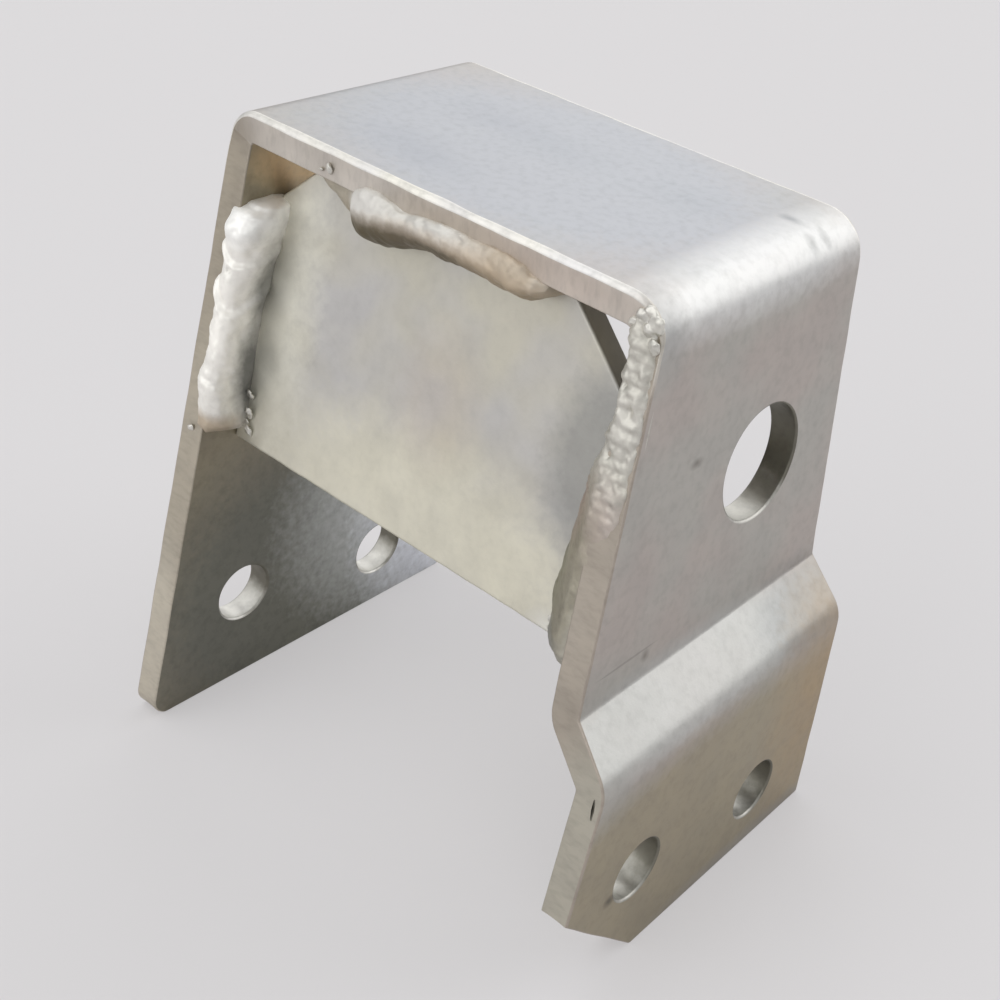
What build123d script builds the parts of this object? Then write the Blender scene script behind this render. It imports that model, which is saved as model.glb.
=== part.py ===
"""Folded steel hanger bracket with a welded web plate, in millimetres.

The origin is the middle of the top's upper face. X runs from the straight leg to the
joggled leg, Y from the front edge to the back edge and Z upwards.
"""
import os
from math import cos, radians, sin, tan

from build123d import *

os.makedirs("parts", exist_ok=True)

# Strap: one strip of plate, folded into an inverted U
plate = 6.0
top_width = 104.0  # over the outside faces of both legs
top_depth = 60.0  # front edge to back edge of the top
height = 132.0  # top face down to the feet
straight_bend_inside = 0.6  # inside radius of the bend above the straight leg
joggled_bend_inside = 2.0  # and of the bend above the joggled leg
front_lean = 11.8  # degrees that the legs' front edges lean forward
foot_round = 4.0  # rounded tip of the straight leg's foot

# Joggled leg: it flares a little, steps outwards and ends in an upright flange
flare = 3.5  # degrees
joggle_drop = 72.5  # top face down to the start of the step
joggle_slope = 45.0  # degrees
joggle_inside = 1.0  # inside radius of the step's two bends
flange_face = 65.6  # X of the flange's outer face
flange_clip = 22.5  # size of the flange's clipped front corner

# Holes
bolt_hole = 13.0  # two in each leg, in line with those in the other
bolt_pitch = 40.0
bolt_step = 7.0  # the back hole sits this much lower
front_bolt_y = -31.5
front_bolt_z = -110.0
pin_hole = 23.0  # one large hole in the joggled leg
pin_y = 4.5
pin_z = -41.5

# Web: the same plate, set back from the legs' front edges and parallel to them
web_setback = 9.0  # along Y
web_drop = 68.5  # top face down to the web's lower edge
straight_clip = (13.5, 12.5)  # width and height of the clipped corner by the straight leg
joggled_clip = (23.0, 21.0)
trim_margin = 1.0  # blanks run this far into the strap before they are trimmed to it

# Weld beads: (distance along the seam, reach in front of the web, smaller rise from the wall)
straight_weld = [
    (11.0, 2.5, 1.2), (14.0, 9.5, 2.8), (19.0, 10.1, 3.4), (24.0, 9.5, 2.6),
    (28.0, 9.9, 3.1), (32.0, 9.9, 3.1), (35.5, 9.4, 2.6), (41.0, 9.8, 3.2),
    (49.0, 9.9, 3.3), (55.0, 9.5, 3.0), (60.5, 2.5, 1.2),
]  # down from the top's underside
top_weld = [
    (0.0, 2.5, 2.0), (3.5, 9.7, 7.0), (9.0, 10.2, 7.8), (16.0, 9.9, 7.0),
    (23.0, 10.2, 7.6), (31.0, 10.0, 8.0), (39.0, 10.2, 9.6), (45.0, 10.0, 9.8),
    (50.0, 3.0, 2.8),
]  # towards the straight leg
joggled_weld = [
    (0.0, 4.2, 4.0), (3.0, 8.0, 7.6), (9.0, 8.4, 8.2), (16.0, 8.7, 8.2),
    (22.0, 9.2, 7.4), (28.0, 9.9, 6.6), (34.0, 9.6, 5.6), (40.0, 10.3, 4.4),
    (46.0, 9.7, 2.4), (52.0, 10.3, 1.6), (57.0, 9.8, 1.3), (61.0, 3.0, 0.8),
]  # up from the web's lower edge
top_weld_start = 25.5  # X of the top bead's first end
weld_lap = 4.0  # how far a bead spreads over the strap's front edge

# Derived places
lean_cos, lean_sin = cos(radians(front_lean)), sin(radians(front_lean))
flare_cos, flare_sin = cos(radians(flare)), sin(radians(flare))
lean_slope = tan(radians(front_lean))
flare_slope = tan(radians(flare))
half_width = top_width / 2
back_y = top_depth / 2
front_y = -back_y
foot_front_y = front_y - (height - plate) * lean_slope
joggle_x = half_width + joggle_drop * flare_slope
joggle_end = joggle_drop + (flange_face - joggle_x) * tan(radians(joggle_slope))
strap_reach = flange_face + plate


def joggled_inner_x(drop):
    """X of the joggled leg's inner face at a distance below the top face."""
    return half_width - plate / flare_cos + drop * flare_slope


with BuildPart() as strap:
    # The fold: the outside line of the section, thickened inwards
    with BuildSketch(Plane.XZ.offset(-back_y)):
        with BuildLine():
            FilletPolyline(
                (-half_width, -height),
                (-half_width, 0),
                (half_width, 0),
                (joggle_x, -joggle_drop),
                (flange_face, -joggle_end),
                (flange_face, -height),
                radius=[
                    straight_bend_inside + plate,
                    joggled_bend_inside + plate,
                    joggle_inside,
                    joggle_inside + plate,
                ],
            )
            offset(amount=plate, side=Side.RIGHT)
        make_face()
    extrude(amount=back_y - foot_front_y)

    # The side outline: square across the top, then the leaning front edges
    with BuildSketch(Plane.YZ):
        with BuildLine():
            Polyline(
                (back_y, 0),
                (front_y, 0),
                (front_y, -plate),
                (foot_front_y, -height),
                (back_y, -height),
                close=True,
            )
        make_face()
    extrude(amount=strap_reach, both=True, mode=Mode.INTERSECT)

    # The flange's clipped front corner
    clip_y = foot_front_y + flange_clip * lean_slope
    clip_z = flange_clip - height
    with BuildSketch(Plane.YZ.offset(joggle_x)):
        with BuildLine():
            Polyline(
                (clip_y, clip_z),
                (clip_y + flange_clip, -height),
                (foot_front_y, -height),
                close=True,
            )
        make_face()
    extrude(amount=2 * plate, both=True, mode=Mode.SUBTRACT)

    # Bolt holes through both legs
    with BuildSketch(Plane.YZ):
        with Locations(
            (front_bolt_y, front_bolt_z),
            (front_bolt_y + bolt_pitch, front_bolt_z - bolt_step),
        ):
            Circle(bolt_hole / 2)
    extrude(amount=strap_reach, both=True, mode=Mode.SUBTRACT)

    # The large hole, square to the flared leg
    leg_face = Plane(
        origin=(joggled_inner_x(-pin_z), pin_y, pin_z),
        x_dir=(0, 1, 0),
        z_dir=(flare_cos, 0, flare_sin),
    )
    with BuildSketch(leg_face):
        Circle(pin_hole / 2)
    extrude(amount=2 * plate, both=True, mode=Mode.SUBTRACT)

    # The rounded tip of the straight leg's foot
    foot_tip = strap.edges().filter_by(Axis.X).group_by(Axis.Z)[0].sort_by(Axis.Y)[0]
    fillet(foot_tip, radius=foot_round)

strap.part.label = "strap"
export_step(strap.part, "parts/strap.step")


# The web's front face: local X along X, local Y up the slope from the top's underside
web_face = Plane(
    origin=(0, front_y + web_setback, -plate),
    x_dir=(1, 0, 0),
    z_dir=(0, -lean_cos, lean_sin),
)
web_length = (web_drop - plate) / lean_cos


def run_past(start, end):
    """Both ends of a line, moved outwards by the trim margin."""
    step = (Vector(end) - Vector(start)).normalized() * trim_margin
    return Vector(start) - step, Vector(end) + step


with BuildPart() as web_plate:
    straight_x = plate - half_width
    clip_width, clip_height = straight_clip
    straight_line = run_past((straight_x, -clip_height / lean_cos), (straight_x + clip_width, 0))
    clip_width, clip_height = joggled_clip
    joggled_line = run_past(
        (joggled_inner_x(plate) - clip_width, 0),
        (joggled_inner_x(plate + clip_height), -clip_height / lean_cos),
    )
    with BuildSketch(web_face):
        with BuildLine():
            Polyline(
                (straight_x - trim_margin, -web_length),
                *straight_line,
                *joggled_line,
                (joggled_inner_x(web_drop) + trim_margin, -web_length),
                close=True,
            )
        make_face()
    extrude(amount=-plate)
    add(strap.part, mode=Mode.SUBTRACT)  # leaves it face to face with the strap

web_plate.part.label = "web_plate"
export_step(web_plate.part, "parts/web_plate.step")


def seam(start, end):
    """A plane at a seam's start: local X leaves the wall and local Y leaves the web."""
    return Plane(
        origin=start,
        x_dir=web_face.z_dir.cross(Vector(end) - Vector(start)),
        z_dir=Vector(end) - Vector(start),
    )


def weld_bead(start_plane, sections):
    """A bead lofted along a seam, trimmed to the strap and the web."""
    with BuildPart() as bead:
        for distance, reach, rise in sections:
            with BuildSketch(start_plane.offset(distance)):
                Ellipse(rise, reach)
                with Locations((0, -trim_margin)):
                    Rectangle(
                        3 * reach,
                        2 * reach,
                        align=(Align.CENTER, Align.MIN),
                        mode=Mode.INTERSECT,
                    )
        loft()
        with BuildSketch(start_plane):
            with Locations((-weld_lap, 0)):
                Rectangle(4 * plate, 4 * plate, align=(Align.MAX, Align.CENTER))
        extrude(amount=2 * sections[-1][0], mode=Mode.SUBTRACT)
        add(strap.part, mode=Mode.SUBTRACT)
        add(web_plate.part, mode=Mode.SUBTRACT)
    return bead


web_top = web_face.from_local_coords((0, 0))
web_foot = web_face.from_local_coords((0, -web_length))
straight_top = Vector(straight_x, web_top.Y, web_top.Z)
straight_foot = Vector(straight_x, web_foot.Y, web_foot.Z)
joggled_top = Vector(joggled_inner_x(plate), web_top.Y, web_top.Z)
joggled_foot = Vector(joggled_inner_x(web_drop), web_foot.Y, web_foot.Z)
top_start = Vector(top_weld_start, web_top.Y, web_top.Z)

beads = {
    "straight_leg_weld": weld_bead(seam(straight_top, straight_foot), straight_weld),
    "top_weld": weld_bead(seam(top_start, straight_top), top_weld),
    "joggled_leg_weld": weld_bead(seam(joggled_foot, joggled_top), joggled_weld),
}
for name, bead in beads.items():
    bead.part.label = name
    export_step(bead.part, f"parts/{name}.step")
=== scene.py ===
from math import cos, exp, pi, radians, sin, tan

import bmesh
import bpy
from mathutils import Matrix, Vector, noise


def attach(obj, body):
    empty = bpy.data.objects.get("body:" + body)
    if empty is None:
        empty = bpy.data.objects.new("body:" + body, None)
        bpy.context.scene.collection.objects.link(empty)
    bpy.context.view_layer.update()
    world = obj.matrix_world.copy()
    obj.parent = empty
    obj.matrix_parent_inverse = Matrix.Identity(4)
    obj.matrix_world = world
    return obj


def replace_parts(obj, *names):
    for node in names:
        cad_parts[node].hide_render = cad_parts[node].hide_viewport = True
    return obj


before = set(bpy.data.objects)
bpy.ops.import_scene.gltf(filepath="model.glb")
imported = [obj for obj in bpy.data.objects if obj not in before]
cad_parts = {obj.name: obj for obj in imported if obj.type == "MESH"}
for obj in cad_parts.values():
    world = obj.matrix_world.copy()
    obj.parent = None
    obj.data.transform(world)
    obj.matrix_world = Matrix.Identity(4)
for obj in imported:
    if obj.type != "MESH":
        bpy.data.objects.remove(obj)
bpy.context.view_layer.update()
mm = 0.001

# The bracket's main sizes as its plates were cut, in millimetres and degrees
bracket = {
    "plate": 6.0,
    "halfWidth": 52.0,
    "depth": 60.0,
    "height": 132.0,
    "lean": 11.8,  # the front edges and the web lean forward
    "flare": 3.5,  # the joggled leg flares out
    "webSetback": 9.0,
    "webDrop": 68.5,
    "joggleDrop": 72.5,
    "joggleSlope": 45.0,
    "flangeFace": 65.6,
    "flangeClip": 22.5,
    "footRound": 4.0,
    "bends": (6.6, 8.0, 1.0, 7.0),  # outside radii, along the fold
    "boltHoles": [(-31.5, -110.0), (8.5, -117.0)],  # y and z
    "boltRadius": 6.5,
    "pinHole": (4.5, -41.5),
    "pinRadius": 11.5,
}
lean = radians(bracket["lean"])
flare = radians(bracket["flare"])


def joggledInnerX(drop):  # X of the joggled leg's inside face below the top
    return bracket["halfWidth"] - bracket["plate"] / cos(flare) + drop * tan(flare)


def selectOnly(*pieces):  # with no pieces, nothing stays selected
    if bpy.context.object and bpy.context.object.mode != "OBJECT":
        bpy.ops.object.mode_set(mode="OBJECT")
    bpy.ops.object.select_all(action="DESELECT")
    for piece in pieces:
        piece.select_set(True)
    if pieces:
        bpy.context.view_layer.objects.active = pieces[0]


def newPiece(name, mesh):  # an object that takes over a finished bmesh
    piece = bpy.data.objects.new(name, bpy.data.meshes.new(name))
    bpy.context.scene.collection.objects.link(piece)
    mesh.to_mesh(piece.data)
    mesh.free()
    return piece


def applyModifier(piece, kind, settings):
    selectOnly(piece)
    modifier = piece.modifiers.new(kind.lower(), kind)
    for name, value in settings.items():
        setattr(modifier, name, value)
    bpy.ops.object.modifier_apply(modifier=modifier.name)


def toLinear(hexColour):  # sRGB hex to the linear colour that shaders take
    channels = [int(hexColour[i : i + 2], 16) / 255 for i in (0, 2, 4)]
    linear = [c / 12.92 if c <= 0.04045 else ((c + 0.055) / 1.055) ** 2.4 for c in channels]
    return (*linear, 1.0)


def addNode(tree, kind, settings, links):
    node = tree.nodes.new(kind)
    for name, value in settings.items():
        if isinstance(name, int) or name in node.inputs:
            node.inputs[name].default_value = value
        else:
            setattr(node, name, value)
    for name, source in links.items():
        tree.links.new(source, node.inputs[name])
    return node


view = {  # the camera stands in front, to the right and a little above
    "place": (0.1689, -0.2050, 0.1014),
    "azimuth": 34.15,
    "elevation": 30.06,
    "roll": 8.73,
    "lens": 54.74,
    "shift": (-0.1404, -0.0799),
    "nearest": 0.01,
}


def addCamera():
    bpy.ops.object.camera_add()
    camera = bpy.context.object
    camera.name = "benchCamera"
    turn = Matrix.Rotation(radians(view["azimuth"]), 4, "Z")
    tip = Matrix.Rotation(radians(90 - view["elevation"]), 4, "X")
    roll = Matrix.Rotation(radians(view["roll"]), 4, "Z")
    camera.matrix_world = Matrix.Translation(view["place"]) @ turn @ tip @ roll
    camera.data.lens = view["lens"]
    camera.data.shift_x, camera.data.shift_y = view["shift"]
    camera.data.clip_start = view["nearest"]
    bpy.context.scene.camera = camera


addCamera()
print("camera placed")

studio = {
    "floorColour": "D8D6D7",
    "floorSeen": "DBD9DA",
    "shadowFade": 0.5,  # the camera sees the shadow this much fainter
    "floorSize": 3.0,
    "worldColour": "F2F3F4",
    "worldStrength": 0.52,
    "backdropStrength": 0.55,
    "suns": [  # name, direction it shines from, width in degrees and strength
        ("backLeftSoftbox", (-0.45, 0.72, 0.52), 50, 0.55),
        ("backRightSoftbox", (0.42, 0.72, 0.56), 60, 0.95),
        ("frontLeftSoftbox", (-0.36, -0.84, 0.40), 60, 0.85),
        ("frontRightSoftbox", (0.60, -0.60, 0.55), 30, 0.35),
        ("overheadSoftbox", (-0.36, -0.18, 0.91), 46, 0.6),
    ],
}


def addFloor():
    floorZ = -bracket["height"] * mm
    bpy.ops.mesh.primitive_plane_add(size=studio["floorSize"], location=(0, 0, floorZ))
    floor = bpy.context.object
    floor.name = "studioFloor"
    paint = bpy.data.materials.new("paperSweep")  # matt paper, with next to no gloss
    paint.use_nodes = True
    tree = paint.node_tree
    shader = tree.nodes["Principled BSDF"]
    shader.inputs["Base Color"].default_value = toLinear(studio["floorColour"])
    shader.inputs["Roughness"].default_value = 0.95
    shader.inputs["Specular IOR Level"].default_value = 0.05
    seen = addNode(tree, "ShaderNodeLightPath", {}, {}).outputs["Is Camera Ray"]
    settings = {"operation": "MULTIPLY", 1: studio["shadowFade"]}
    share = addNode(tree, "ShaderNodeMath", settings, {0: seen})
    settings = {"Color": toLinear(studio["floorSeen"]), "Strength": 1.0}
    glow = addNode(tree, "ShaderNodeEmission", settings, {})
    links = {0: share.outputs[0], 1: shader.outputs[0], 2: glow.outputs[0]}
    faded = addNode(tree, "ShaderNodeMixShader", {}, links)
    tree.links.new(faded.outputs[0], tree.nodes["Material Output"].inputs["Surface"])
    floor.data.materials.append(paint)


def addWorld():
    world = bpy.data.worlds.new("studioWorld")
    bpy.context.scene.world = world
    world.use_nodes = True
    tree = world.node_tree
    tree.nodes.clear()
    paths = addNode(tree, "ShaderNodeLightPath", {}, {})
    seen = paths.outputs["Is Camera Ray"]
    for ray in ("Is Glossy Ray", "Is Transmission Ray"):
        links = {0: seen, 1: paths.outputs[ray]}
        seen = addNode(tree, "ShaderNodeMath", {"operation": "MAXIMUM"}, links).outputs[0]
    shades = []
    for strength in ("worldStrength", "backdropStrength"):
        settings = {"Color": toLinear(studio["worldColour"]), "Strength": studio[strength]}
        shades.append(addNode(tree, "ShaderNodeBackground", settings, {}).outputs[0])
    either = addNode(tree, "ShaderNodeMixShader", {}, {0: seen, 1: shades[0], 2: shades[1]})
    addNode(tree, "ShaderNodeOutputWorld", {}, {"Surface": either.outputs[0]})


def addSuns():
    for name, direction, width, strength in studio["suns"]:
        bpy.ops.object.light_add(type="SUN", location=Vector(direction))
        sun = bpy.context.object
        sun.name = name
        sun.data.angle = radians(width)
        sun.data.energy = strength
        sun.rotation_euler = (-Vector(direction)).to_track_quat("-Z", "Y").to_euler()


addFloor()
addWorld()
addSuns()
bpy.context.scene.view_settings.view_transform = "Standard"
print("studio lit")

coat = {  # sizes in mm, shared by every zinc finish
    "drift": 26.0,  # slow change of tint across a plate
    "cloud": 7.0,  # one soft cloud of the coat
    "cloudShade": "DADADB",
    "smudge": 1.8,  # dull flecks inside the clouds
    "smudgeShade": "A8A8A6",
    "grain": 0.6,  # tooth of the satin coat, drawn coarser than the real 0.2
    "grainDepth": 0.022,
    "wave": 18.0,  # the plate is never quite flat
    "waveDepth": 0.12,
    "noiseRoughness": 0.55,
}


def zincMaterial(name, tints, roughness, patches=(), flecks=0.3, streak=(1, 1, 1), metal=0.92):
    # Hot-dip zinc on mild steel: a satin coat that drifts between two tints and clouds over.
    # Where it has weathered pale it is less of a metal. A cut edge is streaked along the cut.
    material = bpy.data.materials.new(name)
    material.use_nodes = True
    tree = material.node_tree
    shader = tree.nodes["Principled BSDF"]
    shader.inputs["Metallic"].default_value = metal
    place = addNode(tree, "ShaderNodeTexCoord", {}, {}).outputs["Object"]
    drawn = addNode(tree, "ShaderNodeMapping", {"Scale": streak}, {"Vector": place}).outputs[0]

    def noiseField(size, detail, where=drawn):
        settings = {"Scale": 1 / (size * mm), "Detail": detail}
        settings["Roughness"] = coat["noiseRoughness"]
        return addNode(tree, "ShaderNodeTexNoise", settings, {"Vector": where})

    def spread(field, low, high, start, end):
        settings = {"From Min": low, "From Max": high, "To Min": start, "To Max": end}
        return addNode(tree, "ShaderNodeMapRange", settings, {"Value": field}).outputs[0]

    def blend(share, under, shade, how="MIX"):
        settings = {"data_type": "RGBA", "blend_type": how, 7: toLinear(shade)}
        return addNode(tree, "ShaderNodeMix", settings, {0: share, 6: under}).outputs[2]

    drift = noiseField(coat["drift"], 2.0, place).outputs["Fac"]
    cloud = noiseField(coat["cloud"], 4.0).outputs["Fac"]
    smudge = noiseField(coat["smudge"], 3.0)

    base = addNode(tree, "ShaderNodeRGB", {}, {})
    base.outputs[0].default_value = toLinear(tints[0])
    colour = blend(spread(drift, 0.4, 0.6, 0.0, 1.0), base.outputs[0], tints[1])
    for middle, radii, shade, strength, softness in patches:
        settings = {
            "Scale": [1 / (r * mm) for r in radii],
            "Location": [-c / r - softness / 2 for c, r in zip(middle, radii)],
        }
        centred = addNode(tree, "ShaderNodeMapping", settings, {"Vector": place}).outputs[0]
        settings = {"operation": "MULTIPLY_ADD", 1: (softness, softness, softness)}
        links = {0: smudge.outputs["Color"], 2: centred}
        ragged = addNode(tree, "ShaderNodeVectorMath", settings, links).outputs[0]
        settings = {"operation": "LENGTH"}
        away = addNode(tree, "ShaderNodeVectorMath", settings, {0: ragged}).outputs["Value"]
        colour = blend(spread(away, 1.0 + softness, 1.0 - softness, 0.0, strength), colour, shade)
    clouded = spread(cloud, 0.35, 0.7, 0.0, 0.35)
    colour = blend(clouded, colour, coat["cloudShade"], "MULTIPLY")
    flecked = spread(smudge.outputs["Fac"], 0.45, 0.8, 0.0, flecks)
    colour = blend(flecked, colour, coat["smudgeShade"], "MULTIPLY")
    tree.links.new(colour, shader.inputs["Base Color"])

    gloss = spread(cloud, 0.3, 0.7, roughness[1], roughness[0])
    tree.links.new(gloss, shader.inputs["Roughness"])
    normal = None
    for field, detail, depth in (("wave", 1.0, "waveDepth"), ("grain", 4.0, "grainDepth")):
        links = {"Height": noiseField(coat[field], detail).outputs["Fac"]}
        if normal:
            links["Normal"] = normal
        settings = {"Strength": 1.0, "Distance": coat[depth] * mm}
        normal = addNode(tree, "ShaderNodeBump", settings, links).outputs["Normal"]
    tree.links.new(normal, shader.inputs["Normal"])
    return material


# Middle, radii, shade, strength and softness of each patch, with lengths in mm
platePatches = [
    ((0, 0, 8), (90, 60, 10), "B6B8BD", 0.95, 0.10),  # the top is painted cooler: a painted reflection of cool light from above
    ((50, 2, -3), (8, 40, 6), "E4E4E3", 0.8, 0.4),  # its bend is brighter: a painted highlight
    ((52, -28, -4), (4, 3, 6), "A9A9A8", 0.7, 1.2),  # and dull where the bead ends
    ((61, -16, -77), (9, 40, 8), "C6C6C3", 0.8, 0.2),  # the step is brighter too: a painted highlight
    # painted darker towards the step's back, where that highlight falls off
    ((62, 24, -78), (9, 18, 9), "A8A9A8", 0.7, 0.3),
    ((70, -8, -122), (20, 90, 37), "ABA18B", 0.9, 0.10),  # the flange is painted browner and darker: a painted reflection of a brown surface below
    ((66, 30, -100), (10, 16, 26), "B79E7C", 0.6, 0.6),
    ((66, 10, -135), (8, 40, 6), "A7A5A4", 0.6, 0.3),
    ((56.1, -31.2, -66.5), (2, 8, 0.25), "7F7B76", 0.35, 0.2),  # a scratch
    ((-21, -16, 0), (7, 4, 2), "9EA2AB", 0.3, 1.2),  # faint smudges on the top
    ((-11, -18.5, 0), (5, 3, 2), "A2A6AE", 0.3, 1.2),
    ((-18.7, 8, 0), (8, 4, 2), "A0A4AC", 0.3, 1.2),
    ((-1.5, 6, 0), (6, 4, 2), "A4A8AE", 0.28, 1.2),
    ((28, 8, 0), (6, 4, 2), "A2A6AC", 0.28, 1.2),
    ((52, 15.4, -1), (3, 1.2, 2), "6F716F", 0.55, 0.7),  # scuffs and specks
    ((52, 19.7, -1), (3, 1.0, 2), "6F716F", 0.55, 0.7),
    ((43.5, 17, 0), (1.8, 1.0, 2), "83868A", 0.55, 0.7),
    ((54, -16.8, -32.8), (2, 1.3, 0.7), "7A756E", 0.6, 0.8),
    ((65.6, -39.2, -112.3), (2, 1.1, 1.1), "4F4A42", 0.7, 0.7),
    ((56.2, -26.2, -68), (2, 0.8, 0.9), "7A756E", 0.6, 0.8),
]
webPatches = [
    ((5, -28, -64), (50, 12, 16), "DFDBCA", 0.85, 0.3),  # paler towards the lower edge
    # painted light on the web beside the straight bead, lifting the shade cast there
    ((-42, -28, -36), (10, 16, 32), "F0EEE2", 0.85, 0.5),
    ((42, -28, -35), (11, 12, 17), "A3A29E", 0.9, 0.3),  # darker and duller beside the joggled leg
    ((4, -27, -40), (9, 8, 13), "CDC0AE", 0.3, 0.4),
    ((40, -34, -68), (4, 4, 3), "E6E4DC", 0.8, 0.5),
]
insidePatches = [
    # painted shade low on the straight leg's inner face
    ((-46, -14, -112), (6, 44, 36), "7F8078", 0.9, 0.3),
    ((-46, 30, -100), (6, 40, 32), "DDE0E0", 0.9, 0.4),
    ((-46, 34, -112), (6, 26, 26), "F2F5FC", 1.0, 0.4),  # paler and cooler towards the back edge
    # a warm tan in the inside's upper corner, lightened as painted light
    ((-42, -10, -10), (14, 20, 8), "EBD2AB", 0.85, 0.2),
]
borePatches = [  # brighter in the lower half of each bore: painted light where the wall faces up, with some pooled zinc
    ((50, 2, -52), (12, 12, 5), "D9D7D0", 0.9, 0.4),
    ((55, -33, -115), (14, 6, 4.5), "D9D7D0", 0.9, 0.4),
    ((55, 7, -122), (14, 6, 4.5), "D9D7D0", 0.9, 0.4),
    ((-49, -33, -115), (6, 7, 5), "E4E2DC", 0.9, 0.4),
    ((-49, 7, -122), (6, 7, 5), "E4E2DC", 0.9, 0.4),
]
beadPatches = [
    ((-46, -32, -38), (7, 18, 27), "FFFCF5", 1.0, 0.3),  # the straight bead is the brightest: a painted highlight
    # painted highlight on the straight bead's top
    ((-45, -31, -18), (7, 14, 7), "FFFEFA", 1.0, 0.2),
    ((10, -30, -13.0), (30, 18, 6.8), "CDB79D", 0.7, 0.2),  # tan under the top bead, and olive painted shade on its underside
    # olive painted shade on the top bead's underside
    ((5, -30, -14.2), (30, 16, 6.8), "564C36", 0.9, 0.2),
    # more painted shade under its left part
    ((-14, -30, -17.6), (9, 16, 7.6), "5F553C", 0.85, 0.3),
    ((20, -30, -8), (10, 16, 8), "B8A58B", 0.75, 0.5),  # and over its last end
    ((48, -38, -41), (7, 7, 7), "C4B0A8", 0.7, 0.9),
    ((-26, -27, -10), (8, 6, 8), "AFA48F", 0.8, 0.3),
    ((-47, -41, -64), (7, 7, 4), "B09C80", 0.8, 0.3),  # tan at the straight bead's foot
    ((-42, -27.4, -37), (4.2, 4.6, 10), "6A6A64", 0.8, 0.4),  # and painted shade in the groove beside it
    # painted shade lower down that groove
    ((-42, -31.2, -54), (4.2, 5.0, 10.5), "50514E", 0.85, 0.35),
    ((43.5, -35, -54), (8, 12, 20), "A29C8B", 0.9, 0.3),  # the joggled bead is duller low down
    ((41, -33, -54), (3, 7, 9), "8F8D7B", 0.7, 0.6),
    ((42.5, -32, -40), (3, 6, 5), "BFA99E", 0.7, 0.6),
    ((42, -35, -66), (6, 8, 4), "9C9C97", 0.7, 0.3),
]
rimPatches = [
    ((0, -40, -84), (140, 90, 79), "B5ABA0", 1.0, 0.05),  # only the top's rim keeps its painted highlight; lower rims are darker
    ((51, -30, -4), (5, 4, 6), "B9B2A8", 0.7, 0.5),
]
edgePatches = [
    ((10, -30, -4), (16, 3, 4), "B9A68C", 0.35, 0.4),  # tan above the top bead
    ((-52, -34, -70), (9, 40, 60), "BCB4A4", 0.8, 0.3),  # browner down the straight leg
    ((-52, -34, -24), (9, 20, 22), "A89F90", 0.7, 0.3),
    ((-52, -52, -118), (9, 20, 26), "D2CBBC", 0.8, 0.3),
    ((66, -48, -100), (12, 20, 30), "BEBAAD", 0.8, 0.3),
    ((-50, -30, -3), (4, 2, 4), "8F857A", 0.5, 1.2),
    ((30, -30, -3), (14, 2, 4), "CDBFB4", 0.6, 0.5),
]
upTheCut, alongTheCut = (0.6, 1, 1.6), (1.6, 1, 0.6)  # which way an edge's streaks run
finishes = {
    # Rolled plate after the dip: satin, with soft reflections
    "plate": zincMaterial(
        "galvanisedPlate", ("BAB7B1", "BDB5AF"), (0.38, 0.50), platePatches, 0.2
    ),
    # The sheltered inside: duller and browner, and painted darker as shade
    "inside": zincMaterial(
        "dulledAndShadedZinc", ("A69E8B", "9C9484"), (0.45, 0.6), insidePatches
    ),
    # The web: a pale, chalky bloom that hides some of the metal; its warm tint is in part a
    # painted reflection of a warm surface nearby
    "web": zincMaterial(
        "galvanisedWeb", ("C9C5B8", "C4C2C0"), (0.42, 0.55), webPatches, 0.1, metal=0.75
    ),
    # Punched bores: dark, partly as painted shade in the holes, with painted light and pooled zinc
    # in their lower half
    "bore": zincMaterial("galvanisedBore", ("77746A", "838075"), (0.38, 0.5), borePatches),
    # Smooth beads: thick new zinc, close to white
    "bead": zincMaterial(
        "galvanisedWeld", ("D6D3CC", "DEDBD5"), (0.36, 0.5), beadPatches, 0.2, metal=0.35
    ),
    # The joggled bead: coarser weld under a thinner coat
    "roughBead": zincMaterial(
        "galvanisedRoughWeld", ("CBC8BE", "D6D3CB"), (0.42, 0.56), beadPatches, 0.4, metal=0.8
    ),
    # Cut edges: streaked by the shear, with a brown cast
    "legEdge": zincMaterial(
        "shearedLegEdge", ("B0A79B", "BAB1A5"), (0.42, 0.58), edgePatches, 0.25, upTheCut
    ),
    # the top's edge is paler than the legs', in part a painted highlight from its rolled rim
    "topEdge": zincMaterial(
        "shearedTopEdge", ("CBC4BB", "D6CFC6"), (0.42, 0.58), edgePatches, 0.25, alongTheCut
    ),
    # Drops of spatter and zinc: bright and smooth
    "drop": zincMaterial("zincDrop", ("DAD8D0", "E4E1DA"), (0.36, 0.5), (), 0.5),
    # The rolled-over rim between the top and its edge: painted bright, a painted highlight
    "rim": zincMaterial("galvanisedRim", ("F0EDE4", "E8E6E4"), (0.42, 0.56), rimPatches, 0.3),
}
print("finishes mixed")

plates = {
    "merge": 0.002,  # mm between points of the solid's mesh that are one point
    "flat": 0.5,  # degrees between faces that are one flat
    "sharp": 40,  # degrees between faces that make an edge
    "smooth": 35,  # degrees up to which shading runs on
    "round": 0.7,  # mm, at the web's edges
    "roundSteps": 3,
    "slice": 2.4,  # mm between the cuts that let an edge wander
    "sliceEnds": (-44, 44),
    "turned": 12,  # degrees; points whose faces turn more are on a rounded edge
    "wander": 0.11,  # mm
    "wanderLength": 5.0,
    "ripple": (0.5, 0.35),  # strength and length, as shares of the wander's
}


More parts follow.
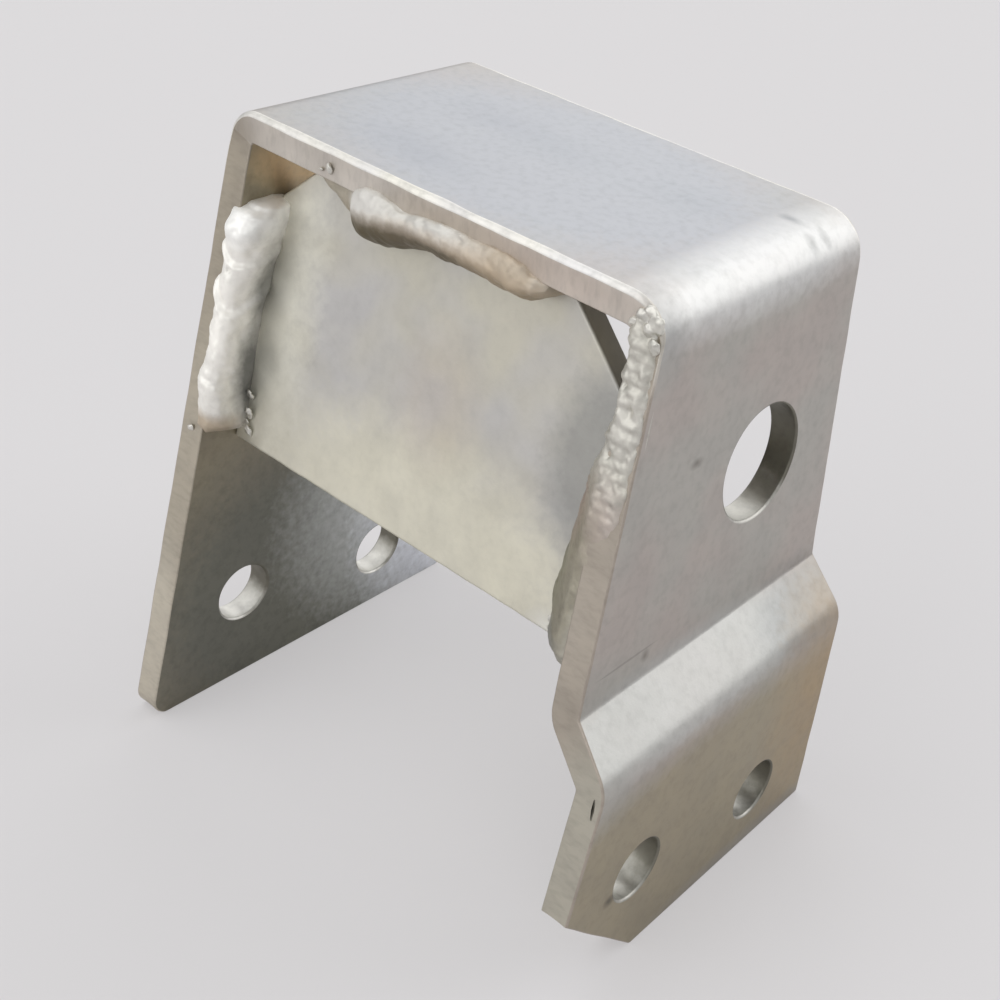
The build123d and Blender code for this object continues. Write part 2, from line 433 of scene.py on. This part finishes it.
def copyOfNode(nodeName, pieceName):
    piece = bpy.data.objects.new(pieceName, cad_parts[nodeName].data.copy())
    bpy.context.scene.collection.objects.link(piece)
    piece.data.materials.clear()
    selectOnly(piece)
    bpy.ops.mesh.customdata_custom_splitnormals_clear()
    bpy.ops.object.mode_set(mode="EDIT")
    bpy.ops.mesh.select_all(action="SELECT")
    bpy.ops.mesh.remove_doubles(threshold=plates["merge"] * mm)
    bpy.ops.mesh.dissolve_limited(angle_limit=radians(plates["flat"]))
    bpy.ops.object.mode_set(mode="OBJECT")
    return piece


def sliceAcross(piece, direction, start, end):
    # Evenly spaced cuts that leave the shape as it is
    steps = int(abs(end - start) / plates["slice"])
    selectOnly(piece)
    bpy.ops.object.mode_set(mode="EDIT")
    for step in range(steps + 1):
        distance = start + (end - start) * step / steps
        bpy.ops.mesh.select_all(action="SELECT")
        bpy.ops.mesh.bisect(plane_co=Vector(direction) * distance * mm, plane_no=direction)
    bpy.ops.object.mode_set(mode="OBJECT")


def wanderEdges(piece):
    # Only points on the rounded edges move, so the flats stay flat
    length = plates["wanderLength"]
    strength, share = plates["ripple"]
    mesh = bmesh.new()
    mesh.from_mesh(piece.data)
    mesh.normal_update()
    for point in mesh.verts:
        normals = [face.normal for face in point.link_faces]
        if normals and min(n.dot(normals[0]) for n in normals) < cos(radians(plates["turned"])):
            drift = noise.noise(point.co / (length * mm))
            ripple = noise.noise(point.co / (share * length * mm))
            point.co += point.normal * (drift + strength * ripple) * plates["wander"] * mm
    mesh.to_mesh(piece.data)
    mesh.free()


def finishPlate(piece, nodeName):
    selectOnly(piece)
    bpy.ops.object.shade_smooth_by_angle(angle=radians(plates["smooth"]))
    applyModifier(piece, "WEIGHTED_NORMAL", {"keep_sharp": True})
    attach(piece, "root")
    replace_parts(piece, nodeName)


fold = {
    "step": 1.4,  # mm between stations along the fold
    "footStep": 0.5,  # closer stations near the feet
    "footStations": (9, 3),  # how many, at the straight foot and at the flange's
    "turn": 9,  # degrees between stations round a bend
    "turnSteps": 3,  # at least
    "across": 10,  # faces over the width
    "edgeAcross": 4,
    "roundSteps": 4,
    "topRound": (0.95, 1.25),  # mm down the edge and back over the face, rolled by the shear
    "legRound": (0.35, 0.4),
    "innerRound": (0.35, 0.35),
    "leastRound": 0.05,
    "roundVaries": 0.2,  # share of a rounding, from place to place
    "topReach": (8, 6),  # mm below the top where its edges begin, and over which they blend
    "footInset": 0.5,
    "footGap": 0.1,
    "wander": 0.16,  # mm
    "wanderLength": 7.0,
    "edgeHollow": 0.12,  # mm, a sheared edge is slightly hollow
    "punchRim": 0.55,  # mm, the rounded rim of a punched hole
    "punchSteps": 4,
    "punchTurn": 75,  # degrees that a rim turns through
    "punchMouth": (0.2, 1.2276),  # mm past the face, and wider than the hole there
    "punchSides": 64,
    "nick": ((63.6, -46.6, -82.6), (64.2, -47.9, -89.0)),  # a slit left by the shear
    "nickSize": (0.7, 1.2),  # width and depth, mm
    "nickTaper": 0.3,
}
strapFinishes = ("plate", "inside", "legEdge", "topEdge", "bore", "rim")


def spaced(start, end, step, marks=()):
    count = max(1, round(abs(end - start) / step))
    return sorted({*(start + (end - start) * i / count for i in range(count + 1)), *marks})


def foldStations():
    # Points on the fold's outside line with their outward normals, from foot to foot
    half, height = bracket["halfWidth"], bracket["height"]
    joggleX = half + bracket["joggleDrop"] * tan(flare)
    reach = (bracket["flangeFace"] - joggleX) * tan(radians(bracket["joggleSlope"]))
    corners = [
        Vector((-half, -height)),
        Vector((-half, 0)),
        Vector((half, 0)),
        Vector((joggleX, -bracket["joggleDrop"])),
        Vector((bracket["flangeFace"], -bracket["joggleDrop"] - reach)),
        Vector((bracket["flangeFace"], -height)),
    ]
    straightMarks, flangeMarks = fold["footStations"]
    stations = []
    start = corners[0]
    for index in range(1, len(corners)):
        corner = corners[index]
        run = (corner - corners[index - 1]).normalized()
        normal = Vector((-run.y, run.x))
        last = index == len(corners) - 1
        cut = 0
        if not last:
            following = (corners[index + 1] - corner).normalized()
            turn = run.angle_signed(following)  # positive clockwise
            radius = bracket["bends"][index - 1]
            cut = radius * tan(abs(turn) / 2)
        length = (corner - start).length - cut
        marks = []
        if index == 1:
            marks = [fold["footStep"] * i for i in range(1, straightMarks + 1)]
        if last:
            clipAt = start.y + height - bracket["flangeClip"]
            marks = [length - fold["footStep"] * i for i in range(1, flangeMarks + 1)]
            marks.append(clipAt)
        for place in spaced(0, length, fold["step"], marks):
            stations.append((start + run * place, normal.copy()))
        if last:
            break
        signed = radius if turn > 0 else -radius
        centre = start + run * length - normal * signed
        steps = max(fold["turnSteps"], round(abs(turn) / radians(fold["turn"])))
        for step in range(1, steps):
            turned = Matrix.Rotation(-turn * step / steps, 2) @ normal
            stations.append((centre + turned * signed, turned))
        start = corner + following * cut
    return stations


def frontEdge(x, z):
    # Y of the strap's front edge; upright at the top, leaning down the legs
    height, tip = bracket["height"], bracket["footRound"]
    front = -bracket["depth"] / 2
    clipZ = bracket["flangeClip"] - height
    if x > bracket["halfWidth"] and z < clipZ:  # the flange's clipped corner
        foot = front - (height - bracket["plate"]) * tan(lean)
        return foot + bracket["flangeClip"] * tan(lean) + clipZ - z
    if x < 0 and z < tip * (1 + sin(lean)) - height:  # the straight foot's rounded tip
        rise = z + height - tip
        middle = front - (height - tip - bracket["plate"]) * tan(lean) + tip / cos(lean)
        return middle - max(0, tip**2 - rise**2) ** 0.5
    return front - max(0, -bracket["plate"] - z) * tan(lean)


def strapRing(outerRound, innerRound, inset):
    # One turn round the strip: (depth below the outside face, share of the way from the
    # front edge to the back one, offset from the front, offset from the back, finish)
    plate, rounds, edge = bracket["plate"], fold["roundSteps"], fold["edgeAcross"]
    down, over = (max(fold["leastRound"], r - inset) for r in outerRound)
    innerDown, innerOver = (max(fold["leastRound"], r - inset) for r in innerRound)
    upper, lower = inset, plate - inset
    flat = lower - innerDown - upper - down
    angles = [pi / 2 * i / rounds for i in range(1, rounds)]
    shares = [i / fold["across"] for i in range(fold["across"] + 1)]
    ring = [(upper, share, inset + over, inset + over, "face") for share in shares]
    for a in angles:
        ring.append((upper + down * (1 - cos(a)), 1, 0, inset + over * (1 - sin(a)), "rim"))
    for i in range(edge + 1):
        ring.append((upper + down + flat * i / edge, 1, 0, inset, "edge"))
    for a in angles:
        back = inset + innerOver * (1 - cos(a))
        ring.append((lower - innerDown * (1 - sin(a)), 1, 0, back, "edge"))
    for share in shares:
        ring.append((lower, 1 - share, inset + innerOver, inset + innerOver, "inside"))
    for a in angles:
        front = inset + innerOver * (1 - sin(a))
        ring.append((lower - innerDown * (1 - cos(a)), 0, front, 0, "edge"))
    for i in range(edge + 1):
        hollow = fold["edgeHollow"] * sin(pi * i / edge)
        ring.append((lower - innerDown - flat * i / edge, 0, inset + hollow, 0, "edge"))
    for a in angles:
        ring.append((upper + down * (1 - sin(a)), 0, inset + over * (1 - cos(a)), 0, "rim"))
    return ring


def buildStrap():
    stations = foldStations()
    first, last = stations[0][0], stations[-1][0]
    inset, up = fold["footInset"], Vector((0, 1))
    quarter = [pi / 2 * i / fold["roundSteps"] for i in range(fold["roundSteps"] + 1)]
    ends = [(inset * (1 - sin(a)), inset * (1 - cos(a))) for a in quarter]  # rounded feet
    lowest = -bracket["height"] + inset + fold["footGap"]
    rows = [(first + up * d, Vector((-1, 0)), e) for d, e in reversed(ends)]
    rows += [(place, normal, 0.0) for place, normal in stations if place.y > lowest]
    rows += [(last + up * d, Vector((1, 0)), e) for d, e in ends]
    topStart, topBlend = fold["topReach"]
    mesh = bmesh.new()
    grid = []
    for place, normal, inset in rows:
        onTop = min(1.0, max(0.0, (place.y + topStart) / topBlend))
        drift = noise.noise(Vector((place.x, 0, place.y)) / fold["wanderLength"])
        varied = noise.noise(Vector((place.x, 9, place.y)) / fold["wanderLength"])
        outer = [
            (top * onTop + leg * (1 - onTop)) * (1 + fold["roundVaries"] * varied)
            for top, leg in zip(fold["topRound"], fold["legRound"])
        ]
        row = []
        for depth, share, fromFront, fromBack, _ in strapRing(outer, fold["innerRound"], inset):
            point = place - normal * depth
            front = frontEdge(point.x, point.y) + drift * fold["wander"] + fromFront
            back = bracket["depth"] / 2 + drift * fold["wander"] - fromBack
            y = front * (1 - share) + back * share
            row.append(mesh.verts.new(Vector((point.x, y, point.y)) * mm))
        grid.append((row, onTop > 0.5))
    kinds = [spot[4] for spot in strapRing(fold["topRound"], fold["innerRound"], 0)]
    for (row, onTop), (following, _) in zip(grid, grid[1:]):
        for i, kind in enumerate(kinds):
            j = (i + 1) % len(kinds)
            face = mesh.faces.new((row[i], row[j], following[j], following[i]))
            if "rim" in (kind, kinds[j]):
                finish = "rim"
            elif kind != kinds[j] or kind == "edge":
                finish = "topEdge" if onTop else "legEdge"
            else:
                finish = "plate" if kind == "face" else "inside"
            face.material_index = strapFinishes.index(finish)
    for row, _ in (grid[0], grid[-1]):
        mesh.faces.new(row).material_index = strapFinishes.index("legEdge")
    bmesh.ops.recalc_face_normals(mesh, faces=mesh.faces)
    return newPiece("foldedStrap", mesh)


def addPunch(cutter, middle, axis, radius):
    # A turned spool that leaves a rounded rim at both faces; middle is on the outside face
    rim, steps, around = fold["punchRim"], fold["punchSteps"], fold["punchSides"]
    past, wider = fold["punchMouth"]
    angles = [radians(fold["punchTurn"] * (steps - k) / steps) for k in range(steps + 1)]
    profile = [(-past, radius + wider)]
    profile += [(rim * (1 - sin(a)), radius + rim * (1 - cos(a))) for a in angles]
    profile += [(bracket["plate"] - u, r) for u, r in reversed(profile)]
    side = Vector((0, 1, 0))
    up = side.cross(axis)
    rings = []
    for u, r in profile:
        centre = Vector(middle) - axis * u
        turns = (2 * pi * k / around for k in range(around))
        spots = (centre + (side * cos(t) + up * sin(t)) * r for t in turns)
        rings.append([cutter.verts.new(spot * mm) for spot in spots])
    for ring, following in zip(rings, rings[1:]):
        for k in range(around):
            j = (k + 1) % around
            cutter.faces.new((ring[k], ring[j], following[j], following[k]))
    cutter.faces.new(rings[0])
    cutter.faces.new(rings[-1])


def addNick(cutter):
    # A thin slit in the flange's front edge, widest at its middle
    top, foot = (Vector(end) for end in fold["nick"])
    width, depth = fold["nickSize"]
    narrow = fold["nickTaper"]
    corners = []
    for end, taper in ((top, narrow), ((top + foot) / 2, 1.0), (foot, narrow)):
        for x, y in ((-0.5, 1), (0.5, 1), (0.5 * taper, -1), (-0.5 * taper, -1)):
            spot = end + Vector((x * width * taper, -y * depth * taper, 0))
            corners.append(cutter.verts.new(spot * mm))
    for ring in (0, 4):
        for k in range(4):
            around = (k, (k + 1) % 4, (k + 1) % 4 + 4, k + 4)
            cutter.faces.new([corners[ring + i] for i in around])
    cutter.faces.new(corners[:4])
    cutter.faces.new(corners[8:])


def punchHoles(piece):
    cutter = bmesh.new()
    outward = Vector((1, 0, 0))
    for y, z in bracket["boltHoles"]:
        addPunch(cutter, (-bracket["halfWidth"], y, z), -outward, bracket["boltRadius"])
        addPunch(cutter, (bracket["flangeFace"], y, z), outward, bracket["boltRadius"])
    y, z = bracket["pinHole"]
    outward = Vector((cos(flare), 0, sin(flare)))
    inner = Vector((joggledInnerX(-z), y, z))
    addPunch(cutter, inner + outward * bracket["plate"], outward, bracket["pinRadius"])
    addNick(cutter)
    bmesh.ops.recalc_face_normals(cutter, faces=cutter.faces)
    for face in cutter.faces:
        face.material_index = strapFinishes.index("bore")
    tool = newPiece("punches", cutter)
    for material in piece.data.materials:
        tool.data.materials.append(material)
    applyModifier(piece, "BOOLEAN", {"operation": "DIFFERENCE", "solver": "EXACT", "object": tool})
    bpy.data.objects.remove(tool, do_unlink=True)


strapPiece = buildStrap()
for finish in strapFinishes:
    strapPiece.data.materials.append(finishes[finish])
punchHoles(strapPiece)
finishPlate(strapPiece, "strap")
print("strap folded")

webPiece = copyOfNode("web_plate", "webPlate")
webPiece.data.materials.append(finishes["web"])
edgeRounding = {
    "width": plates["round"] * mm,
    "segments": plates["roundSteps"],
    "limit_method": "ANGLE",
    "angle_limit": radians(plates["sharp"]),
}
applyModifier(webPiece, "BEVEL", edgeRounding)
sliceAcross(webPiece, (1, 0, 0), *plates["sliceEnds"])
wanderEdges(webPiece)
finishPlate(webPiece, "web_plate")
print("web cut")

# The seams run along the web's front face
webDown = Vector((0, -sin(lean), -cos(lean)))
webOut = Vector((0, -cos(lean), sin(lean)))
webTopY = -bracket["depth"] / 2 + bracket["webSetback"]
webTopZ = -bracket["plate"]
webLength = (bracket["webDrop"] - bracket["plate"]) / cos(lean)


def seamFrame(start, away, along):
    # Columns: away from the wall, out of the web, along the seam; lengths stay in mm
    columns = Matrix((away, webOut, along)).transposed().to_4x4()
    columns.translation = Vector(start)
    return Matrix.Scale(mm, 4) @ columns


straightInnerX = bracket["plate"] - bracket["halfWidth"]
straightSeam = seamFrame((straightInnerX, webTopY, webTopZ), Vector((1, 0, 0)), webDown)
topSeam = seamFrame((0.0, webTopY, webTopZ), webDown, Vector((1, 0, 0)))
webFoot = Vector((0, webTopY, webTopZ)) + webDown * webLength
joggledFoot = webFoot + Vector((joggledInnerX(bracket["webDrop"]), 0, 0))
joggledTop = Vector((joggledInnerX(bracket["plate"]), webTopY, webTopZ))
joggledUp = (joggledTop - joggledFoot).normalized()
joggledSeam = seamFrame(joggledFoot, webOut.cross(joggledUp).normalized(), joggledUp)

# Each bead is poured over a flat grid, station by station. A station gives, in mm: the
# distance along the seam, the lap over the strap's front edge, the crest and the toe away
# from the wall, the crest's height above the web and how far the side bulges past the toe.
straightBead = {
    "corner": (0.0, 8.81),  # the front edge's corner, away from the wall and out of the web
    "edgeLean": 0.0,
    "stations": [
        (12.0, 0.4, 1.6, 3.2, 2.0, 0.4),
        (13.4, 1.4, 2.0, 3.8, 7.0, 2.2),
        (15.4, 1.9, 2.1, 3.9, 10.0, 3.2),
        (18.4, 2.0, 1.8, 3.6, 11.4, 3.3),
        (21.5, 1.8, 1.2, 3.0, 10.0, 2.8),
        (25.5, 1.6, 1.0, 2.5, 9.5, 2.5),
        (30.0, 1.7, 0.9, 1.9, 9.9, 2.4),
        (35.5, 1.6, 0.9, 1.5, 9.2, 1.7),
        (41.0, 1.8, 1.0, 1.6, 9.7, 1.8),
        (49.0, 2.2, 1.0, 1.9, 10.2, 2.0),
        (55.0, 2.2, 1.0, 2.3, 10.0, 1.9),
        (59.5, 1.6, 1.0, 2.7, 9.2, 1.4),
        (61.8, 0.4, 0.8, 2.2, 8.4, 0.4),
    ],
    # along, how far its middle runs ahead, height of the step and its length
    "tongues": [
        (19.5, 5.0, 1.3, 3.5),
        (26.5, 8.0, 1.5, 6.0),
        (36.0, 5.0, 0.5, 4.0),
        (46.0, 4.0, 0.5, 5.0),
    ],
    "ripple": (3.4, 0.03, 2.5, 30.0),  # spacing, depth, bow and where it starts
    "lumps": (0.42, 0.20),  # depth of the broad and the fine ones
    "pits": [  # along, share of the way across, radius and depth
        (18.4, 0.42, 0.9, 0.7),
        (26.6, 0.40, 0.7, 0.7),
        (22.5, 0.66, 1.0, 0.5),
        (40.0, 0.74, 1.6, 0.5),
        (50.0, 0.78, 1.4, 0.6),
        (54.0, 0.82, 1.2, 0.7),
    ],
    "ends": (1.2, 3.2),  # lengths over which the ends round off
}
topBead = {
    "corner": (1.84, 8.81),
    "edgeLean": 0.209,  # the top's front edge is upright, and the web isn't
    "stations": [
        (-32.0, -1.0, 2.6, 4.6, 5.0, 0.2),
        (-28.0, -1.0, 3.0, 6.6, 6.0, -0.6),
        (-22.0, -0.8, 3.2, 10.0, 7.0, -1.6),
        (-18.4, -0.4, 3.8, 11.4, 8.2, -0.8),
        (-16.6, 1.4, 4.0, 10.8, 10.2, 1.0),
        (-14.6, 2.3, 3.9, 10.0, 10.9, 1.8),
        (-12.0, 2.4, 3.8, 9.4, 11.0, 2.0),
        (-8.5, 1.7, 3.5, 8.6, 10.6, 1.8),
        (-4.5, 1.1, 3.0, 7.4, 10.1, 1.4),
        (1.0, 1.9, 2.8, 6.8, 10.2, 1.2),
        (7.0, 2.3, 2.8, 6.6, 10.2, 1.2),
        (13.0, 2.2, 2.8, 6.8, 10.2, 1.1),
        (18.5, 2.3, 3.2, 7.2, 10.3, 1.4),
        (22.0, 1.9, 3.6, 6.4, 10.4, 1.4),
        (25.2, 0.8, 3.6, 5.0, 10.0, 0.9),
        (28.0, -0.2, 3.0, 3.8, 8.6, 0.3),
    ],
    "tongues": [(-7.0, -2.0, 0.15, 4.0)],
    "ripple": (3.0, 0.02, 2.0, -16.0),
    "lumps": (0.36, 0.18),
    "pits": [(-14.6, 0.30, 1.2, 0.25), (9.0, 0.22, 1.2, 0.2), (18.8, 0.66, 2.0, 0.9)],
    "ends": (5.0, 1.0),
}
joggledBead = {
    "corner": (0.0, 8.81),
    "edgeLean": 0.0,
    "stations": [
        (-1.6, 0.3, 1.6, 5.6, 3.6, -0.4),
        (0.4, 0.3, 2.4, 8.8, 5.6, -1.2),
        (2.4, 0.3, 2.6, 9.8, 7.0, -1.4),
        (6.0, 0.4, 2.2, 10.1, 7.8, -1.6),
        (12.0, 0.4, 2.0, 10.0, 8.0, -1.6),
        (18.0, 0.6, 1.8, 9.5, 8.4, -1.6),
        (23.0, 1.6, 1.2, 8.8, 8.9, -1.4),
        (27.0, 3.9, 0.4, 8.2, 9.1, -1.0),
        (31.0, 5.1, 0.0, 7.4, 9.4, -0.8),
        (36.0, 5.5, -0.4, 6.4, 9.5, -0.4),
        (42.0, 5.5, -0.8, 4.0, 9.5, 0.0),
        (47.0, 5.6, -1.0, 1.8, 9.6, 0.6),
        (51.0, 5.5, -1.0, 0.8, 9.6, 1.0),
        (57.0, 5.4, -0.9, 0.7, 9.7, 1.1),
        (60.5, 5.0, -0.8, 0.7, 9.9, 1.1),
        (63.0, 4.4, -0.8, 0.5, 10.0, 0.9),
        (65.6, 3.6, -0.8, 0.0, 9.6, 0.4),
    ],
    "tongues": [
        (8.0, -1.5, 0.15, 4.0),
        (33.0, -1.0, 0.30, 3.0),
        (43.5, -1.2, 0.45, 3.0),
        (54.0, -1.0, 0.35, 3.0),
    ],
    "ripple": (1.9, 0.12, 0.5, 26.0),
    "lumps": (0.40, 0.36),
    "pits": [  # a depth below zero is a blob
        (41.0, 0.45, 0.8, 0.7),
        (49.0, 0.30, 1.0, 0.8),
        (58.5, 0.60, 1.3, 1.2),
        (63.2, 0.2, 1.0, 1.1),
        (31.0, 0.75, 0.9, 0.7),
        (53.0, 0.42, 0.8, 0.6),
        (60.5, 0.35, 0.8, -0.5),
        (62.0, 0.55, 0.8, -0.5),
        (55.5, 0.2, 0.8, -0.4),
    ],
    "ends": (2.4, 1.4),
}
pour = {  # shared by the beads, in mm
    "across": 46,  # grid columns
    "step": 0.36,  # row spacing
    "sink": 0.35,  # how deep the skin's edges are buried
    "floor": (-0.4, -1.2),  # and the hidden floor under it: towards the wall and the web
    "crestAt": 0.4,  # share of the way across where the crest lies
    "leastHeight": 0.3,  # of the crest over the lap
    "capShares": (0.15, 0.35, 0.5),  # what is left of height, toe and crest at an end
    "tongueRise": 1.7,  # length of a tongue's rim
    "rippleGrow": 8,  # length over which the ripples grow
    "lumpSizes": (4.5, 1.5, 0.7),
    "reliefRise": 1.6,  # length over which the relief grows from an end
    "reliefStart": 0.3,
    "pitWidth": 16,  # mm that a pit's share across stands for
    "smooth": 60,  # degrees
}


def eased(t):
    t = min(max(t, 0.0), 1.0)
    return t * t * (3 - 2 * t)


def bezier(points, t):
    a, b, c, d = (Vector(p) for p in points)
    return a * (1 - t) ** 3 + b * 3 * t * (1 - t) ** 2 + c * 3 * t * t * (1 - t) + d * t**3


def stationAt(settings, along):
    stations = settings["stations"]
    along = min(max(along, stations[0][0]), stations[-1][0])
    for before, after in zip(stations, stations[1:]):
        if along <= after[0]:
            t = eased((along - before[0]) / (after[0] - before[0]))
            return [p + (q - p) * t for p, q in zip(before[1:], after[1:])]


def beadPoint(settings, along, across):
    # Where the bead's skin lies at a distance along the seam, from the lap (0) to the toe (1)
    lap, crest, toe, height, bulge = stationAt(settings, along)
    first, last = settings["stations"][0][0], settings["stations"][-1][0]
    startCap, endCap = settings["ends"]
    nearEnd = min((along - first) / startCap, (last - along) / endCap, 1.0)
    full = (1 - (1 - max(nearEnd, 0.0)) ** 2) ** 0.5  # 0 at an end, 1 past its rounding
    leftHeight, leftToe, leftCrest = pour["capShares"]
    cornerAway, cornerOut = settings["corner"]
    edge = cornerOut + settings["edgeLean"] * max(lap, 0.0)
    low = min(edge, height - pour["leastHeight"]) - pour["sink"]
    start = cornerAway - lap if lap > 0 else cornerAway * low / cornerOut - pour["sink"]
    height = low + (height - low) * (leftHeight + (1 - leftHeight) * full)
    toe = start + (toe - start) * (leftToe + (1 - leftToe) * full)
    crest = start + (crest - start) * (leftCrest + (1 - leftCrest) * full)
    bulge *= full
    crestAt = pour["crestAt"]
    if across < crestAt:
        reach = crest - start
        line = [
            (start, low),
            (start + 0.1 * reach, height),
            (crest - 0.5 * reach, height),
            (crest, height),
        ]
        return bezier([(a, o, along) for a, o in line], across / crestAt)
    reach = toe - crest
    line = [
        (crest, height),
        (crest + 0.35 * reach + bulge, height),
        (toe + bulge, 0.5 * height),
        (toe, -pour["sink"]),
    ]
    return bezier([(a, o, along) for a, o in line], (across - crestAt) / (1 - crestAt))


def beadRelief(settings, along, across, place):
    # Tongues of metal that overlap, ripples, lumps and pits, in mm
    middle = 1 - (2 * across - 1) ** 2
    relief = 0.0
    for edge, bow, step, length in settings["tongues"]:
        past = along - edge - bow * middle
        if past > 0:  # a sharp rim, then a slow fall
            relief += step * eased(past / pour["tongueRise"]) * exp(-past / length)
    spacing, depth, bow, rippleStart = settings["ripple"]
    grown = eased((along - rippleStart) / pour["rippleGrow"])
    drift = 0.9 * noise.noise(place / 6)
    phase = pi * (along - bow * middle + drift) / spacing
    relief += depth * grown * (1.3 + noise.noise(place / 5)) * (abs(sin(phase)) - 0.6)
    broad, fine = settings["lumps"]
    fine *= 0.35 + 0.65 * grown
    broadSize, fineSize, finestSize = pour["lumpSizes"]
    relief += broad * noise.noise(place / broadSize) + fine * noise.noise(place / fineSize)
    relief += 0.5 * fine * noise.noise(place / finestSize)
    for pitAlong, pitAcross, radius, depth in settings["pits"]:
        aside = pour["pitWidth"] * (across - pitAcross)
        relief -= depth * exp(-((along - pitAlong) ** 2 + aside**2) / radius**2)
    fromEnd = min(along - settings["stations"][0][0], settings["stations"][-1][0] - along)
    shown = eased((fromEnd + pour["reliefStart"]) / pour["reliefRise"])
    return relief * min(1.0, 5 * middle) * shown


def closeBelow(mesh, grid):
    # A floor sunk into the plates closes the skin from below
    border = [row[0] for row in grid] + grid[-1][1:-1]
    border += [row[-1] for row in reversed(grid)] + grid[0][-2:0:-1]
    drop = Vector((*pour["floor"], 0))
    sunk = {point: mesh.verts.new(point.co + drop) for point in border}
    for point, following in zip(border, border[1:] + border[:1]):
        mesh.faces.new((point, following, sunk[following], sunk[point]))
    for row, following in zip(grid, grid[1:]):
        corners = row[0], row[-1], following[-1], following[0]
        mesh.faces.new([sunk[point] for point in corners])
    for row in (grid[0], grid[-1]):
        mesh.faces.new([sunk[point] for point in row])
    bmesh.ops.triangulate(mesh, faces=[face for face in mesh.faces if len(face.verts) > 4])


def pourBead(name, seam, settings, finish):
    first, last = settings["stations"][0][0], settings["stations"][-1][0]
    rows = int((last - first) / pour["step"])
    selectOnly()
    bpy.ops.mesh.primitive_grid_add(x_subdivisions=pour["across"], y_subdivisions=rows, size=2)
    bead = bpy.context.object
    bead.name = name
    mesh = bmesh.new()
    mesh.from_mesh(bead.data)
    spots = {p: (first + (last - first) * (p.co.y + 1) / 2, (p.co.x + 1) / 2) for p in mesh.verts}
    inOrder = sorted(mesh.verts, key=lambda p: (round(spots[p][0], 4), spots[p][1]))
    wide = pour["across"] + 1
    grid = [inOrder[i : i + wide] for i in range(0, len(inOrder), wide)]
    for point, (along, across) in spots.items():
        point.co = beadPoint(settings, along, across)
    mesh.normal_update()
    outward = Vector((1, 0.3, 0))
    turned = sum(face.normal.dot(outward) * face.calc_area() for face in mesh.faces) < 0
    normals = {point: -point.normal if turned else point.normal.copy() for point in mesh.verts}
    for point, (along, across) in spots.items():
        point.co += normals[point] * beadRelief(settings, along, across, point.co.copy())
    closeBelow(mesh, grid)
    bmesh.ops.transform(mesh, matrix=seam, verts=mesh.verts)
    bmesh.ops.recalc_face_normals(mesh, faces=mesh.faces)
    mesh.to_mesh(bead.data)
    mesh.free()
    bead.data.materials.append(finishes[finish])
    selectOnly(bead)
    bpy.ops.object.shade_smooth_by_angle(angle=radians(pour["smooth"]))
    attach(bead, "root")
    return bead


for piece, seam, settings, finish, node in (
    ("straightLegBead", straightSeam, straightBead, "bead", "straight_leg_weld"),
    ("topBead", topSeam, topBead, "bead", "top_weld"),
    ("joggledLegBead", joggledSeam, joggledBead, "roughBead", "joggled_leg_weld"),
):
    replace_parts(pourBead(piece, seam, settings, finish), node)
print("beads poured")

drops = {  # drops of spatter and zinc
    "spots": [  # middle, radius and stretch along Z, in mm
        ((-24.4, -30.1, -3.6), 1.0, 1.0),
        ((-26.6, -30.1, -4.4), 0.5, 1.0),
        ((-48.9, -42.4, -64.8), 0.8, 1.0),
        ((-42.4, -32.8, -57.6), 0.7, 1.8),
        ((-41.9, -33.6, -61.4), 0.8, 1.6),
        ((-41.8, -33.9, -65.4), 1.0, 1.3),
        ((-42.6, -33.7, -63.6), 0.6, 1.4),
        ((41.0, -34.1, -67.4), 0.9, 1.7),
        ((40.2, -33.6, -65.6), 0.6, 1.6),
        ((49.2, -29.9, -2.0), 1.5, 0.7),
        ((50.6, -30.1, -3.6), 1.6, 1.1),
        ((47.8, -29.9, -3.4), 1.7, 0.9),
        ((49.6, -30.2, -5.4), 1.6, 1.2),
        ((51.2, -30.9, -7.0), 1.2, 1.3),
        ((46.4, -29.9, -4.9), 1.3, 0.8),
    ],
    "flat": 0.5,  # how far a drop stands out, against its radius
    "faces": (28, 18),  # round and up a drop
    "wander": 0.34,  # mm
    "wanderLength": 1.1,
    "seed": 4,  # keeps the drops the same in every run
    "voxel": 0.12,  # mm
}


def addDrops():
    pieces = []
    around, rings = drops["faces"]
    for middle, radius, stretch in drops["spots"]:
        bpy.ops.mesh.primitive_uv_sphere_add(
            segments=around, ring_count=rings, radius=radius * mm, location=Vector(middle) * mm
        )
        drop = bpy.context.object
        drop.scale = (1, drops["flat"], stretch)
        drop.rotation_euler = (lean, 0, 0)
        pieces.append(drop)
    selectOnly(*pieces)
    bpy.ops.object.transform_apply(location=True, rotation=True, scale=True)
    bpy.ops.object.join()
    joined = bpy.context.object
    joined.name = "zincDrops"
    noise.seed_set(drops["seed"])
    for point in joined.data.vertices:
        rough = noise.noise_vector(point.co / (drops["wanderLength"] * mm))
        point.co += rough * drops["wander"] * mm
    remesh = {"mode": "VOXEL", "voxel_size": drops["voxel"] * mm, "use_smooth_shade": True}
    applyModifier(joined, "REMESH", remesh)  # drops that touch run together
    joined.data.materials.append(finishes["drop"])
    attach(joined, "root")


addDrops()
print("drops added")
